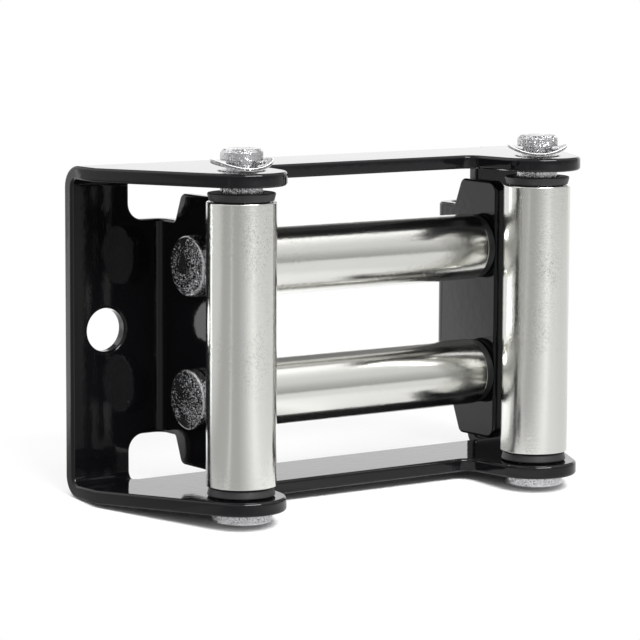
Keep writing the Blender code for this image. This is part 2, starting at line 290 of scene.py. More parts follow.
def satin_steel(settings, axis):
    """Satin polished steel tube: fine rings round its axis, small pits and sparkle."""
    material, graph, shader = start_finish("satin_steel_" + "xyz"[axis],
                                           {"Metallic": 1.0})
    place = graph.node("ShaderNodeTexCoord", output="Object")
    squeeze = [RING_STRETCH, RING_STRETCH, RING_STRETCH]
    squeeze[axis] = 1.0
    along = graph.vector("MULTIPLY", place, squeeze)
    cloud = graph.noise(place, STEEL_CLOUDS, detail=3.0)
    pits = graph.noise(place, STEEL_PITS, roughness=0.55)
    rings = graph.noise(along, STEEL_RINGS, roughness=0.7)
    colour = graph.mix(cloud, tinted(settings.colour, 1.0),
                       tinted(settings.colour, STEEL_CLOUD_SHADE))
    graph.feed(shader.inputs["Base Color"], colour)
    rough = settings.roughness + STEEL_CLOUD_ROUGHNESS * cloud + PIT_ROUGHNESS * pits
    graph.feed(shader.inputs["Roughness"], rough)
    patchy = graph.eased(graph.noise(place, STEEL_PATCHES), *STEEL_PATCH_LEVELS)
    sparkle = graph.sparkle(place, settings.facet_count, settings.facet_lean * patchy)
    ringed = graph.bump(rings, settings.ring_height, sparkle)
    graph.feed(shader.inputs["Normal"], graph.bump(pits, settings.pit_height, ringed))
    return material


def zinc_plate(name, settings, shade):
    """Bright zinc plate over rough steel, as light as its shade says; a shade below 1 is
    painted shade.
    """
    material, graph, shader = start_finish(name, {"Metallic": 1.0})
    place = graph.node("ShaderNodeTexCoord", output="Object")
    cloud = graph.noise(place, ZINC_CLOUDS, detail=3.0)
    colour = graph.mix(cloud, tinted(settings.colour, shade),
                       tinted(settings.colour, ZINC_CLOUD_SHADE * shade))
    graph.feed(shader.inputs["Base Color"], colour)
    rough = settings.roughness + ZINC_CLOUD_ROUGHNESS * cloud
    graph.feed(shader.inputs["Roughness"], rough)
    patchy = graph.eased(graph.noise(place, ZINC_PATCHES), *ZINC_PATCH_LEVELS)
    sparkle = graph.sparkle(place, settings.facet_count, settings.facet_lean * patchy)
    grain = graph.noise(place, ZINC_GRAIN, detail=3.0, roughness=0.6)
    grained = graph.bump(grain, settings.grain_height, sparkle)
    graph.feed(shader.inputs["Normal"], grained)
    return material


def moulded_plastic(settings):
    """Matte black moulded plastic with faint scuffs."""
    material, graph, shader = start_finish("moulded_plastic", {"IOR": 1.5})
    place = graph.node("ShaderNodeTexCoord", output="Object")
    grain = graph.noise(place, PLASTIC_GRAIN)
    rubbed = graph.noise(place, PLASTIC_SCUFFS, detail=4.0, roughness=0.7)
    scuffs = graph.eased(rubbed, *SCUFF_LEVELS)
    colour = graph.mix(scuffs, tinted(settings.colour, 1.0),
                       tinted(settings.colour, SCUFF_SHADE))
    graph.feed(shader.inputs["Base Color"], colour)
    graph.feed(shader.inputs["Roughness"], settings.roughness + GRAIN_ROUGHNESS * grain)
    graph.feed(shader.inputs["Normal"], graph.bump(grain, settings.grain_height))
    return material


def length(name, description, default, high=0.1):
    """Return a length property in metres."""
    return bpy.props.FloatProperty(name=name, description=description, default=default,
                                   min=0.0, max=high, unit="LENGTH", precision=5)


def amount(name, description, default, low=0.0, high=1.0):
    """Return a plain number property."""
    return bpy.props.FloatProperty(name=name, description=description, default=default,
                                   min=low, max=high, precision=3)


def angle(name, description, degrees):
    """Return an angle property."""
    return bpy.props.FloatProperty(name=name, description=description,
                                   default=math.radians(degrees), min=-math.pi,
                                   max=math.pi, unit="ROTATION", precision=3)


def colour(name, description, default):
    """Return a colour property."""
    return bpy.props.FloatVectorProperty(name=name, description=description, min=0.0,
                                         default=default, max=1.0, size=3,
                                         subtype="COLOR")


def count(name, description, default, low, high):
    """Return a whole number property."""
    return bpy.props.IntProperty(name=name, description=description, default=default,
                                 min=low, max=high)


class FrameSettings(bpy.types.PropertyGroup):
    """Edges and finish of the folded frame."""

    edge_round: length("Edge round", "Radius of the coat over the sheet's edges",
                       0.0008)
    round_steps: count("Round steps", "Faces across each rounded edge", 5, 4, 8)
    colour: colour("Colour", "Colour of the gloss coat", (0.0025, 0.0025, 0.003))
    roughness: amount("Roughness", "Roughness of the coat", 0.05)
    wave_height: length("Wave height", "Height of the long waves in the coat", 0.00001)
    peel_height: length("Peel height", "Height of the orange peel", 0.00002)
    speck_height: length("Speck height", "Height of the dust specks", 0.00002)


class TubeSettings(bpy.types.PropertyGroup):
    """Wall, edges and finish of the roller tubes."""

    wall: length("Wall", "Thickness of the tube's wall", 0.0016)
    edge_round: length("Edge round", "Radius of the tube's edges", 0.00035)
    segments: count("Segments", "Faces round the tube", 128, 16, 512)
    colour: colour("Colour", "Colour of the steel", (0.70, 0.70, 0.67))
    roughness: amount("Roughness", "Roughness of the steel", 0.09)
    ring_height: length("Ring height", "Depth of the rings left by polishing", 0.000006)
    pit_height: length("Pit height", "Depth of the small pits", 0.000008)
    facet_count: amount("Facet count", "Sparkling facets in a metre", 4600.0, 1.0, 1e5)
    facet_lean: amount("Facet lean", "How far the farthest facets lean", 0.065)


class BushingSettings(bpy.types.PropertyGroup):
    """Sizes and finish of the flanged bushings."""

    flange: length("Flange", "Thickness of the flange", 0.0020)
    body_length: length("Body length", "Length of the body in the tube", 0.0120)
    body_radius: length("Body radius", "Radius of the body in the tube", 0.0068)
    bore_radius: length("Bore radius", "Radius of the bore", 0.0055)
    rim_inset: length("Rim inset", "How far the flange lies inside the tube's surface",
                      0.0002)
    taper: length("Taper", "How much the flange narrows towards the tube", 0.0005)
    press_gap: length("Press gap", "Gap between the flange and the tube's end", 0.0002)
    edge_round: length("Edge round", "Radius of the flange's edges", 0.0003)
    segments: count("Segments", "Faces round the bushing", 96, 16, 512)
    colour: colour("Colour", "Colour of the plastic", (0.012, 0.012, 0.013))
    roughness: amount("Roughness", "Roughness of the plastic", 0.42)
    grain_height: length("Grain height", "Height of the moulded grain", 0.000006)


class PinSettings(bpy.types.PropertyGroup):
    """Sizes and finish of the headed pins, whose zinc the clips share."""

    radius: length("Radius", "Radius of the shank", 0.0052)
    head_thickness: length("Head thickness", "Thickness of the head", 0.0024)
    head_round: length("Head round", "Radius of the head's outer edge", 0.0006)
    groove_radius: length("Groove radius", "Radius at the foot of the clip's groove",
                          0.0038)
    groove_width: length("Groove width", "Width of the clip's groove", 0.0024)
    groove_lift: length("Groove lift", "How far the groove starts under the clip's seat",
                        0.0001)
    tail_chamfer: length("Tail chamfer", "Chamfer at the pin's tail", 0.0008)
    edge_round: length("Edge round", "Radius of the pin's small edges", 0.00012)
    segments: count("Segments", "Faces round the pin", 96, 16, 512)
    colour: colour("Colour", "Colour of the zinc", (0.58, 0.58, 0.59))
    roughness: amount("Roughness", "Roughness of the zinc", 0.12)
    grain_height: length("Grain height", "Height of the forged grain", 0.000025)
    facet_count: amount("Facet count", "Sparkling facets in a metre", 5200.0, 1.0, 1e5)
    facet_lean: amount("Facet lean", "How far the farthest facets lean", 0.7, 0.0, 3.0)


class ClipSettings(bpy.types.PropertyGroup):
    """Sizes of the bowed clips."""

    outer_radius: length("Outer radius", "Radius of the clip's rim", 0.0076)
    lobe_radius: length("Lobe radius", "Radius between the clip's prongs", 0.0058)
    tip_radius: length("Tip radius", "Radius at the tips of the prongs", 0.0041)
    thickness: length("Thickness", "Thickness of the spring steel", 0.0008)
    bow: length("Bow", "How far the two sides rise above the middle", 0.0019)
    edge_round: length("Edge round", "Radius of the clip's edges", 0.00015)
    round_steps: count("Round steps", "Faces across each rounded edge", 4, 4, 8)
    reach: angle("Reach", "How far the clip runs each way from its middle prong", 132.0)
    side_prong: angle("Side prong", "How much of the rim each side prong takes", 30.0)
    middle_prong: angle("Middle prong", "How much of the rim the middle prong takes",
                        36.0)
    flare: angle("Flare", "Over how much of the rim a prong widens", 7.0)
    # Painted shade: the clips' zinc is painted darker than the pins', for the dark frame
    # their undersides and edges mirror.
    shade: amount("Shade", "How light the clips' zinc is beside the pins'", 0.65)
    turn_left: angle("Left turn", "Turn of the left pin's clip", -15.0)
    turn_right: angle("Right turn", "Turn of the right pin's clip", -35.0)
    turn_upper: angle("Upper turn", "Turn of the upper pin's clip", 90.0)
    turn_lower: angle("Lower turn", "Turn of the lower pin's clip", 60.0)
    around: count("Steps around", "Faces along the clip's rim", 96, 12, 400)
    across: count("Steps across", "Faces across the clip's rim", 4, 1, 20)


class StageSettings(bpy.types.PropertyGroup):
    """Floor, softbox and camera."""

    floor_radius: length("Floor radius", "Radius of the floor", 0.85, 5.0)
    floor_colour: colour("Floor colour", "Colour of the floor", (0.92, 0.92, 0.92))
    contact: length("Contact", "How close the fairlead darkens the floor", 0.008)
    lean: angle("Lean", "How far the fairlead leans back on its lower pins' heads",
                5.75)
    lamp_elevation: angle("Lamp elevation", "Softbox's height round the fairlead", 46.0)
    lamp_distance: length("Lamp distance", "Softbox's distance from the camera's aim",
                          1.1, 5.0)
    lamp_width: length("Lamp width", "Width of the softbox", 0.70, 5.0)
    lamp_height: length("Lamp height", "Height of the softbox", 0.40, 5.0)
    lamp_brightness: amount("Lamp brightness", "Radiance of the softbox", 19.0,
                            high=1e3)
    azimuth: angle("Azimuth", "Camera's turn round the fairlead", -35.8418)
    elevation: angle("Elevation", "Camera's height round the fairlead", 7.1914)
    roll: angle("Roll", "Camera's roll", 0.2596)
    distance: length("Distance", "Camera's distance from its aim", 0.8092366, 5.0)
    lens: bpy.props.FloatProperty(name="Lens", description="Camera's focal length",
                                  default=174.59, min=10.0, max=500.0, unit="CAMERA")
    aim: bpy.props.FloatVectorProperty(
        name="Aim", description="What the camera aims at", size=3, unit="LENGTH",
        default=(0.003733, -0.003028, -0.002127), precision=5)


def geometry_tree(name, sizes):
    """Start a geometry node tree whose inputs are named, and return their values."""
    tree = bpy.data.node_groups.new(name, "GeometryNodeTree")
    kinds = {float: "NodeSocketFloat", int: "NodeSocketInt"}
    for label, value in sizes.items():
        tree.interface.new_socket(label, in_out="INPUT", socket_type=kinds[type(value)])
    for label in ("Centre", "Turn"):
        tree.interface.new_socket(label, in_out="INPUT", socket_type="NodeSocketVector")
    tree.interface.new_socket("Material", in_out="INPUT",
                              socket_type="NodeSocketMaterial")
    tree.interface.new_socket("Geometry", in_out="OUTPUT",
                              socket_type="NodeSocketGeometry")
    graph = Graph(tree)
    entry = tree.nodes.new("NodeGroupInput")
    return graph, {socket.name: Value(graph, socket) for socket in entry.outputs
                   if socket.name}


def end_tree(graph, geometry, values):
    """Put a tree's geometry in place, make it real and give it its material."""
    geometry = graph.node("GeometryNodeTransform", None,
                          {"Geometry": geometry, "Translation": values["Centre"],
                           "Rotation": values["Turn"]})
    geometry = graph.node("GeometryNodeRealizeInstances", None, {"Geometry": geometry})
    geometry = graph.node("GeometryNodeSetMaterial", None,
                          {"Geometry": geometry, "Material": values["Material"]})
    leave = graph.tree.nodes.new("NodeGroupOutput")
    graph.feed(leave.inputs["Geometry"], geometry)
    return graph.tree


def spun(graph, corners, cyclic, segments):
    """Spin a profile of (radius, height, edge round) round the Z axis."""
    line = graph.node("GeometryNodeMeshLine", {"mode": "OFFSET"},
                      {"Count": len(corners)})
    curve = graph.node("GeometryNodeMeshToCurve", None, {"Mesh": line})
    curve = graph.node("GeometryNodeSetSplineCyclic", None,
                       {"Geometry": curve, "Cyclic": cyclic})
    index = graph.node("GeometryNodeInputIndex")
    places = {"Index": index}
    rounds = {"Index": index}
    for step, (radius, height, edge) in enumerate(corners):
        places[str(step)] = graph.node("ShaderNodeCombineXYZ", None,
                                       {"X": radius - HUB_RADIUS, "Y": -1.0 * height})
        rounds[str(step)] = edge
    place = graph.node("GeometryNodeIndexSwitch",
                       {"data_type": "VECTOR", "items": len(corners)}, places)
    edge = graph.node("GeometryNodeIndexSwitch",
                      {"data_type": "FLOAT", "items": len(corners)}, rounds)
    curve = graph.node("GeometryNodeSetPosition", None,
                       {"Geometry": curve, "Position": place})
    curve = graph.node("GeometryNodeFilletCurve", {"mode": "POLY"},
                       {"Curve": curve, "Count": FILLET_STEPS, "Radius": edge,
                        "Limit Radius": True})
    ring = graph.node("GeometryNodeCurvePrimitiveCircle", {"mode": "RADIUS"},
                      {"Resolution": segments, "Radius": HUB_RADIUS})
    ring = graph.node("GeometryNodeSetCurveNormal", {"mode": "Z_UP"}, {"Curve": ring})
    mesh = graph.node("GeometryNodeCurveToMesh", None,
                      {"Curve": ring, "Profile Curve": curve})
    return graph.node("GeometryNodeMergeByDistance", None,
                      {"Geometry": mesh, "Distance": MERGE_DISTANCE})


def tube_tree(sizes):
    """Geometry nodes for a roller tube, centred on its length."""
    graph, values = geometry_tree("turned_tube", sizes)
    outer = values["Radius"]
    inner = outer - values["Wall"]
    half = values["Length"] * 0.5
    edge = values["Edge Round"]
    corners = [(inner, -1.0 * half, edge), (outer, -1.0 * half, edge),
               (outer, half, edge), (inner, half, edge)]
    mesh = spun(graph, corners, True, values["Segments"])
    return end_tree(graph, mesh, values)


def bushing_tree(sizes):
    """Geometry nodes for a roller's two bushings, one turned bushing at each end."""
    graph, values = geometry_tree("bushing_pair", sizes)
    bore = values["Bore Radius"]
    body = values["Body Radius"]
    rim = values["Rim Radius"]
    edge = values["Edge Round"]
    under = -1.0 * values["Flange"]
    foot = under - values["Body Length"]
    corners = [(bore, 0.0, edge), (rim, 0.0, edge),
               (rim - values["Taper"], under, edge), (body, under, 0.0),
               (body, foot, edge), (bore, foot, 0.0)]
    bushing = spun(graph, corners, True, values["Segments"])
    ends = graph.node("GeometryNodeMeshLine", {"mode": "OFFSET"}, {"Count": 2})
    index = graph.node("GeometryNodeInputIndex")
    place = graph.node("ShaderNodeCombineXYZ", None,
                       {"Z": values["Face"] * (1.0 - 2.0 * index)})
    ends = graph.node("GeometryNodeSetPosition", None,
                      {"Geometry": ends, "Position": place})
    turn = graph.node("ShaderNodeCombineXYZ", None, {"X": math.pi * index})
    pair = graph.node("GeometryNodeInstanceOnPoints", None,
                      {"Points": ends, "Instance": bushing, "Rotation": turn})
    return end_tree(graph, pair, values)


def pin_tree(sizes):
    """Geometry nodes for a headed pin with a groove near its tail."""
    graph, values = geometry_tree("headed_pin", sizes)
    shank = values["Radius"]
    head = values["Head Radius"]
    foot = values["Groove Radius"]
    start = values["Start"]
    under = start + values["Head Thickness"]
    groove = values["Groove Start"]
    groove_end = groove + values["Groove Width"]
    end = values["End"]
    chamfer = values["Tail Chamfer"]
    small = values["Edge Round"]
    corners = [(0.0, start, 0.0), (head, start, values["Head Round"]),
               (head, under, small), (shank, under, 0.0), (shank, groove, 0.0),
               (foot, groove, 0.0), (foot, groove_end, 0.0), (shank, groove_end, small),
               (shank, end - chamfer, small), (shank - chamfer, end, small),
               (0.0, end, 0.0)]
    mesh = spun(graph, corners, False, values["Segments"])
    return end_tree(graph, mesh, values)


def clip_tree(sizes):
    """Geometry nodes for a bowed clip, its middle prong towards -Y."""
    graph, values = geometry_tree("bowed_clip", sizes)
    reach = values["Reach"]
    grid = graph.node("GeometryNodeMeshGrid", None,
                      {"Size X": 1.0, "Size Y": 1.0, "Vertices X": values["Around"] + 1,
                       "Vertices Y": values["Across"] + 1})
    place = graph.node("GeometryNodeInputPosition")
    along = graph.node("ShaderNodeSeparateXYZ", None, {"Vector": place}, "X")
    across = graph.node("ShaderNodeSeparateXYZ", None, {"Vector": place}, "Y")
    turn = 2.0 * reach * along
    size = graph.node("ShaderNodeMath", {"operation": "ABSOLUTE"}, {0: turn})
    middle_edge = values["Middle Prong"] * 0.5
    side_edge = reach - values["Side Prong"]
    lobe = (graph.eased(size, middle_edge, middle_edge + values["Flare"])
            * (1.0 - graph.eased(size, side_edge - values["Flare"], side_edge)))
    inner = values["Tip Radius"] + lobe * (values["Lobe Radius"] - values["Tip Radius"])
    radius = inner + (values["Outer Radius"] - inner) * (across + 0.5)
    sine = graph.node("ShaderNodeMath", {"operation": "SINE"}, {0: turn})
    cosine = graph.node("ShaderNodeMath", {"operation": "COSINE"}, {0: turn})
    share = radius * sine / values["Outer Radius"]
    bowed = graph.node("ShaderNodeCombineXYZ", None,
                       {"X": radius * sine, "Y": -1.0 * radius * cosine,
                        "Z": values["Bow"] * share * share})
    under = graph.node("GeometryNodeSetPosition", None,
                       {"Geometry": grid, "Position": bowed})
    rise = graph.node("ShaderNodeCombineXYZ", None, {"Z": values["Thickness"]})
    upper = graph.node("GeometryNodeExtrudeMesh", {"mode": "FACES"},
                       {"Mesh": under, "Offset": rise, "Offset Scale": 1.0,
                        "Individual": False})
    under = graph.node("GeometryNodeFlipFaces", None, {"Mesh": under})
    joined = graph.tree.nodes.new("GeometryNodeJoinGeometry")
    for part in (upper, under):
        graph.tree.links.new(part.socket, joined.inputs["Geometry"])
    closed = graph.node("GeometryNodeMergeByDistance", None,
                        {"Geometry": Value(graph, joined.outputs[0]),
                         "Distance": MERGE_DISTANCE})
    return end_tree(graph, closed, values)


def grown(name, tree, sizes):
    """Run a geometry node tree on its sizes, and keep the result as a plain mesh."""
    holder = bpy.data.objects.new(name, bpy.data.meshes.new(name))
    bpy.context.scene.collection.objects.link(holder)
    modifier = holder.modifiers.new("Tree", "NODES")
    modifier.node_group = tree
    for item in tree.interface.items_tree:
        if item.in_out == "INPUT":
            modifier[item.identifier] = sizes[item.name]
    view = bpy.context.evaluated_depsgraph_get()
    mesh = bpy.data.meshes.new_from_object(holder.evaluated_get(view))
    holder.modifiers.remove(modifier)
    holder.data = mesh
    if not mesh.polygons:
        raise RuntimeError("The tree made no faces for " + name)
    return holder


def even_shading(piece):
    """Point a piece's normals outwards, and keep flat faces flat under smooth edges."""
    bm = bmesh.new()
    bm.from_mesh(piece.data)
    bmesh.ops.recalc_face_normals(bm, faces=bm.faces)
    bm.to_mesh(piece.data)
    bm.free()
    piece.data.shade_smooth()
    piece.data.set_sharp_from_angle(angle=CREASE_ANGLE)
    modifier = piece.modifiers.new("Flats", "WEIGHTED_NORMAL")
    modifier.weight = FLATS_WEIGHT
    modifier.keep_sharp = True
    view = bpy.context.evaluated_depsgraph_get()
    mesh = bpy.data.meshes.new_from_object(piece.evaluated_get(view))
    piece.modifiers.remove(modifier)
    piece.data = mesh


def round_edges(mesh, width, steps):
    """Round every sharp edge of a mesh."""
    bm = bmesh.new()
    bm.from_mesh(mesh)
    bmesh.ops.remove_doubles(bm, verts=bm.verts, dist=MERGE_DISTANCE)
    bmesh.ops.dissolve_limit(bm, angle_limit=FLAT_ANGLE, verts=bm.verts, edges=bm.edges)
    bmesh.ops.recalc_face_normals(bm, faces=bm.faces)
    sharp = [edge for edge in bm.edges if edge.calc_face_angle(0.0) > SHARP_ANGLE]
    bmesh.ops.bevel(bm, geom=sharp, offset=width, offset_type="OFFSET", segments=steps,
                    profile=0.5, affect="EDGES", clamp_overlap=False)
    bm.to_mesh(mesh)
    bm.free()


def hand_over(piece, body, slot, *nodes):
    """Ride a finished piece on its body, and hide its CAD nodes."""
    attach(piece, body)
    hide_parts(*nodes)


class FAIRLEAD_OT_frame(bpy.types.Operator):
    """Round the folded frame's edges and coat it"""

    bl_idname = "fairlead.frame"
    bl_label = "Coat Frame"

    def execute(self, context):
        """Dress the frame."""
        settings = context.scene.fairlead_frame
        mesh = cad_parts["frame"].data.copy()
        mesh.name = "coated_frame"
        round_edges(mesh, settings.edge_round, settings.round_steps)
        mesh.materials.clear()
        mesh.materials.append(gloss_coat(settings))
        piece = bpy.data.objects.new("coated_frame", mesh)
        context.scene.collection.objects.link(piece)
        even_shading(piece)
        hand_over(piece, "frame", "gloss_black_coat", "frame")
        return {"FINISHED"}


class FAIRLEAD_OT_tubes(bpy.types.Operator):
    """Turn the four roller tubes"""

    bl_idname = "fairlead.tubes"
    bl_label = "Turn Tubes"

    def execute(self, context):
        """Make the tubes."""
        settings = context.scene.fairlead_tubes
        finishes = {axis: satin_steel(settings, axis) for axis in (0, 2)}
        tree = None
        for name, layout in LAYOUT.items():
            sizes = {"Radius": layout["radius"], "Wall": settings.wall,
                     "Length": layout["length"], "Edge Round": settings.edge_round,
                     "Segments": settings.segments}
            tree = tree or tube_tree(sizes)
            place = {"Centre": layout["centre"], "Turn": layout["turn"].to_euler(),
                     "Material": finishes[layout["axis"]]}
            piece = grown("tube_" + name, tree, {**sizes, **place})
            even_shading(piece)
            hand_over(piece, "roller_" + name, "satin_steel", "roller_tube_" + name)
        return {"FINISHED"}


class FAIRLEAD_OT_bushings(bpy.types.Operator):
    """Set a flanged bushing in each end of every tube"""

    bl_idname = "fairlead.bushings"
    bl_label = "Set Bushings"

    def execute(self, context):
        """Make the bushings."""
        settings = context.scene.fairlead_bushings
        finish = moulded_plastic(settings)
        tree = None
        for name, layout in LAYOUT.items():
            face = layout["length"] / 2 + settings.press_gap + settings.flange
            sizes = {"Face": face, "Flange": settings.flange,
                     "Body Length": settings.body_length,
                     "Body Radius": settings.body_radius,
                     "Bore Radius": settings.bore_radius,
                     "Rim Radius": layout["radius"] - settings.rim_inset,
                     "Taper": settings.taper, "Edge Round": settings.edge_round,
                     "Segments": settings.segments}
            tree = tree or bushing_tree(sizes)
            place = {"Centre": layout["centre"], "Turn": layout["turn"].to_euler(),
                     "Material": finish}
            piece = grown("bushings_" + name, tree, {**sizes, **place})
            even_shading(piece)
            nodes = ["bushing_" + name + "_" + end for end in BUSHING_ENDS[name]]
            hand_over(piece, "roller_" + name, "black_plastic", *nodes)
        return {"FINISHED"}


class FAIRLEAD_OT_pins(bpy.types.Operator):
    """Turn the four headed pins"""

    bl_idname = "fairlead.pins"
    bl_label = "Turn Pins"

    def execute(self, context):
        """Make the pins."""
        settings = context.scene.fairlead_pins
        finish = zinc_plate("zinc_plate", settings, 1.0)
        tree = None
        for name, layout in LAYOUT.items():
            sizes = {"Radius": settings.radius,
                     "Head Radius": layout["pin_head_radius"],
                     "Groove Radius": settings.groove_radius,
                     "Start": layout["pin_start"], "End": layout["pin_end"],
                     "Head Thickness": settings.head_thickness,
                     "Head Round": settings.head_round,
                     "Groove Start": layout["clip_seat"] - settings.groove_lift,
                     "Groove Width": settings.groove_width,
                     "Tail Chamfer": settings.tail_chamfer,
                     "Edge Round": settings.edge_round, "Segments": settings.segments}
            tree = tree or pin_tree(sizes)
            place = {"Centre": layout["centre"], "Turn": layout["turn"].to_euler(),
                     "Material": finish}
            piece = grown("headed_pin_" + name, tree, {**sizes, **place})
            even_shading(piece)
            hand_over(piece, "pin_" + name, "zinc_plate", "pin_" + name)
        return {"FINISHED"}


class FAIRLEAD_OT_clips(bpy.types.Operator):
    """Push a bowed clip onto each pin's tail"""

    bl_idname = "fairlead.clips"
    bl_label = "Push On Clips"

    def execute(self, context):
        """Make the clips."""
        settings = context.scene.fairlead_clips
        # The clips get a darker copy of the pins' zinc, as painted shade.
        finish = zinc_plate("clip_zinc", context.scene.fairlead_pins, settings.shade)
        sizes = {"Outer Radius": settings.outer_radius,
                 "Lobe Radius": settings.lobe_radius, "Tip Radius": settings.tip_radius,
                 "Thickness": settings.thickness, "Bow": settings.bow,
                 "Reach": settings.reach, "Side Prong": settings.side_prong,
                 "Middle Prong": settings.middle_prong, "Flare": settings.flare,
                 "Around": settings.around, "Across": settings.across}
        tree = clip_tree(sizes)
        for name, layout in LAYOUT.items():
            spin = Matrix.Rotation(getattr(settings, "turn_" + name), 4, "Z")
            seat = layout["turn"] @ Vector((0.0, 0.0, layout["clip_seat"]))
            place = {"Centre": layout["centre"] + seat,
                     "Turn": (layout["turn"] @ spin).to_euler(), "Material": finish}
            piece = grown("bowed_clip_" + name, tree, {**sizes, **place})
            round_edges(piece.data, settings.edge_round, settings.round_steps)
            even_shading(piece)
            hand_over(piece, "pin_" + name, "zinc_plate", "clip_" + name)
        return {"FINISHED"}


# Shade at which a ramp of shades is white, since a ramp's colours end at 1.
SHADE_PEAK = 2.6

# Shade of the studio's walls near the floor: degrees from -Y towards +X, and shade.
WALL_SHADES = (
    (-180, 1.42), (-150, 1.50), (-128, 1.20), (-112, 0.60), (-98, 0.52), (-80, 0.54),
    (-69, 0.56), (-67, 0.82), (-64, 0.80), (-61, 0.54), (-44, 0.54), (-28, 0.72),
    (-15, 0.94), (2, 1.28), (20, 1.02), (60, 0.90), (95, 0.90), (112, 1.30),
    (180, 1.42),
)

# Shade of the floor behind the fairlead: how far to the camera's right, and shade.
REAR_SHADES = (
    (-0.10, 0.80), (-0.058, 0.80), (-0.054, 2.40), (-0.034, 2.40), (-0.030, 1.50),
    (0.008, 1.50), (0.022, 2.30), (0.042, 2.30), (0.060, 1.00), (0.10, 1.00),
)
REAR_SPAN = 0.20

# Shade of the studio over its walls: height of the way there, and shade.
CEILING_SHADES = (
    (-0.06, 0.42), (-0.02, 0.44), (0.19, 0.62), (0.40, 0.84), (0.58, 0.88),
    (0.70, 1.06), (0.78, 1.55), (0.86, 1.60), (0.93, 0.60), (1.0, 0.30),
)

# Shade of the ceiling behind the fairlead, and of its left part.
REAR_CEILING_SHADE = 0.25
LEFT_CEILING_SHADE = 1.9

# How far behind, and how far left, the way to a place goes where the ceiling changes.
REAR_CEILING_EDGE = (0.05, 0.35)
LEFT_CEILING_EDGE = (0.0, 0.12)

# How high the way goes where the walls end, and how much higher they end behind.
WALL_TOP = (-0.08, -0.04)
REAR_WALL_RISE = 0.42

# How far behind the fairlead the floor's own shades set in.
REAR_FLOOR_EDGE = (0.0, 0.1)

# The floor turns to plain white this far from this point. Nearer, this much is white.
FADE_CENTRE = (0.0, -0.02, -0.045)
FADE_EDGE = (0.06, 0.12)
NEAR_WHITE = 0.78

# How open the floor is where the contact shadow is deepest, and where it ends.
CONTACT_LEVELS = (0.25, 0.85)


def direction(azimuth, elevation):
    """Return the direction at an azimuth from -Y towards +X, and an elevation."""
    level = math.cos(elevation)
    return Vector((math.sin(azimuth) * level, -math.cos(azimuth) * level,
                   math.sin(elevation)))


def floor_plane():
    """Return a point on the floor and its normal, from what the fairlead stands on."""
    lean = bpy.context.scene.fairlead_stage.lean
    low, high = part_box("pin_left")
    point = Vector((0.0, high.y, low.z))
    return point, Vector((0.0, -math.sin(lean), math.cos(lean)))


def even_shade(shade):
    """Return one of the studio's shades as a colour."""
    return tinted((shade, shade, shade), 1.0 / SHADE_PEAK)


def shade_ramp(graph, value, span, shades):
    """Return the studio's shade for a value, whose span lies evenly about 0."""
    stops = [(place / span + 0.5, shade / SHADE_PEAK) for place, shade in shades]
    return graph.node("ShaderNodeValToRGB", {"stops": stops}, {0: value / span + 0.5})


def wall_shade(graph, across, behind):
    """Return the studio walls' shade on the way to a place, by its azimuth."""
    turn = graph.node("ShaderNodeMath", {"operation": "ARCTAN2"},
                      {0: across, 1: -1.0 * behind})
    return shade_ramp(graph, turn * (360 / math.tau), 360, WALL_SHADES)


def build_floor(settings):
    """Lay the floor that the fairlead leans back on, white beyond its shadow.

    It is white to the camera and the walls' shade to what mirrors it, because a shiny
    piece shows a lit floor as the studio has it. Close to the fairlead it darkens.
    """
    point, normal = floor_plane()
    turn = normal.to_track_quat("Z", "Y").to_matrix().to_4x4()
    bm = bmesh.new()
    bmesh.ops.create_circle(bm, cap_ends=True, segments=FLOOR_SEGMENTS,
                             radius=settings.floor_radius)
    bm.transform(Matrix.Translation(point) @ turn)
    mesh = bpy.data.meshes.new("floor")
    bm.to_mesh(mesh)
    bm.free()
    floor = bpy.data.objects.new("floor", mesh)
    bpy.context.scene.collection.objects.link(floor)
    material, graph, shader = start_finish("studio_floor", {
        "Base Color": tinted(settings.floor_colour, 1.0), "Roughness": 0.9,
        "Specular IOR Level": 0.0})
    place = graph.node("ShaderNodeTexCoord", output="Object")
    centred = graph.vector("SUBTRACT", place, FADE_CENTRE)
    away = graph.node("ShaderNodeVectorMath", {"operation": "LENGTH"}, {0: centred},
                      "Value")
    white = graph.node("ShaderNodeEmission", None, {"Color": WHITE})
    across = graph.node("ShaderNodeSeparateXYZ", None, {"Vector": place}, "X")
    behind = graph.node("ShaderNodeSeparateXYZ", None, {"Vector": place}, "Y")
    right = math.cos(settings.azimuth) * across - math.sin(settings.azimuth) * behind
    shade = graph.mix(graph.eased(behind, *REAR_FLOOR_EDGE),
                      wall_shade(graph, across, behind),
                      shade_ramp(graph, right, REAR_SPAN, REAR_SHADES))
    mirrored = graph.node("ShaderNodeEmission", None,
                          {"Color": shade, "Strength": SHADE_PEAK})
    glossy = graph.node("ShaderNodeLightPath", output="Is Glossy Ray")
    lit = graph.node("ShaderNodeMixShader", None, {0: glossy, 1: white, 2: mirrored})
    openness = graph.node("ShaderNodeAmbientOcclusion", None,
                          {"Distance": settings.contact}, "AO")
    fade = NEAR_WHITE + (1.0 - NEAR_WHITE) * graph.eased(away, *FADE_EDGE)
    fade = fade * graph.eased(openness, *CONTACT_LEVELS)
    mixed = graph.node("ShaderNodeMixShader", None,
                       {0: fade, 1: Value(graph, shader.outputs[0]), 2: lit})
    graph.feed(graph.tree.nodes["Material Output"].inputs["Surface"], mixed)
    mesh.materials.append(material)


